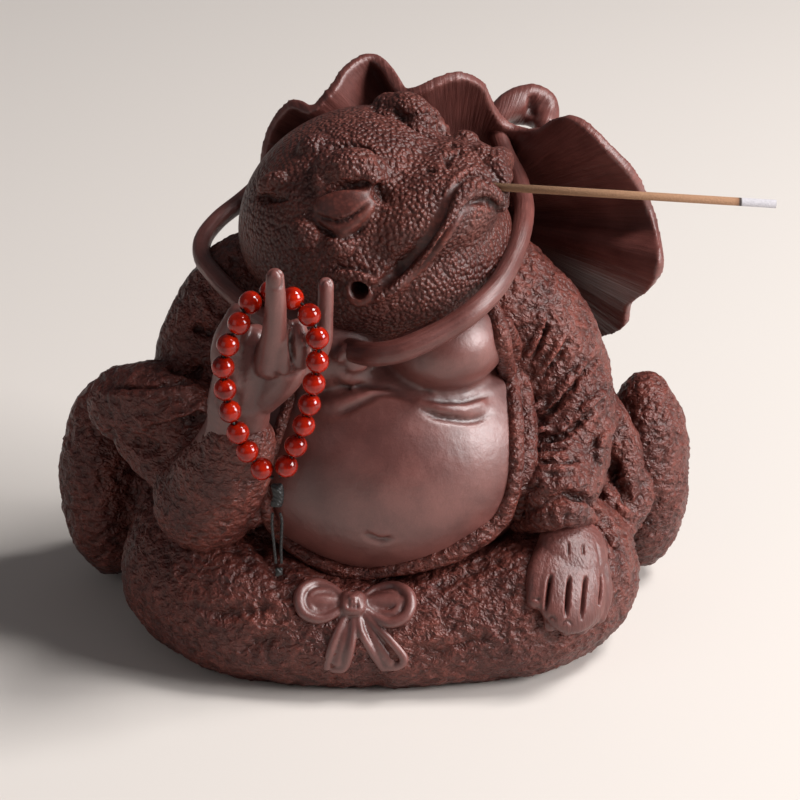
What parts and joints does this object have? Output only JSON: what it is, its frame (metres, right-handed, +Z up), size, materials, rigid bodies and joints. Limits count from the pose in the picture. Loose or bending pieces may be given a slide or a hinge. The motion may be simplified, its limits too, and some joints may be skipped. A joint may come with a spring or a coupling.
{
  "type": "tea pet figurine",
  "caption": "Seated clay toad in a loose robe with a leaf hat on its back, holding a string of beads, with an incense stick set in its mouth.",
  "frame": {"origin": "on the ground under the flat base, at the middle of the figure's width over its seat", "axes": "+Z up, -Y the side that the belly faces, +X to the right as one faces it"},
  "size_m": [0.1787, 0.1028, 0.1402],
  "materials": {
    "purple_clay": "matt unglazed",
    "red_agate": "polished",
    "black_wax_cord": "waxed",
    "incense": "matt"
  },
  "bodies": {
    "root": {"clay_toad": "purple_clay", "incense_stick": "incense", "bead_01": "red_agate", "bead_02": "red_agate", "bead_03": "red_agate", "bead_04": "red_agate", "bead_05": "red_agate", "bead_06": "red_agate", "bead_07": "red_agate", "bead_08": "red_agate", "bead_09": "red_agate", "bead_10": "red_agate", "bead_11": "red_agate", "bead_12": "red_agate", "bead_13": "red_agate", "bead_14": "red_agate", "bead_15": "red_agate", "bead_16": "red_agate", "bead_17": "red_agate", "bead_18": "red_agate", "bead_19": "red_agate", "bead_cord": "black_wax_cord", "bead_knot": "black_wax_cord", "tassel_cord_1": "black_wax_cord", "tassel_cord_2": "black_wax_cord", "tassel_end": "black_wax_cord"}
  },
  "joints": []
}
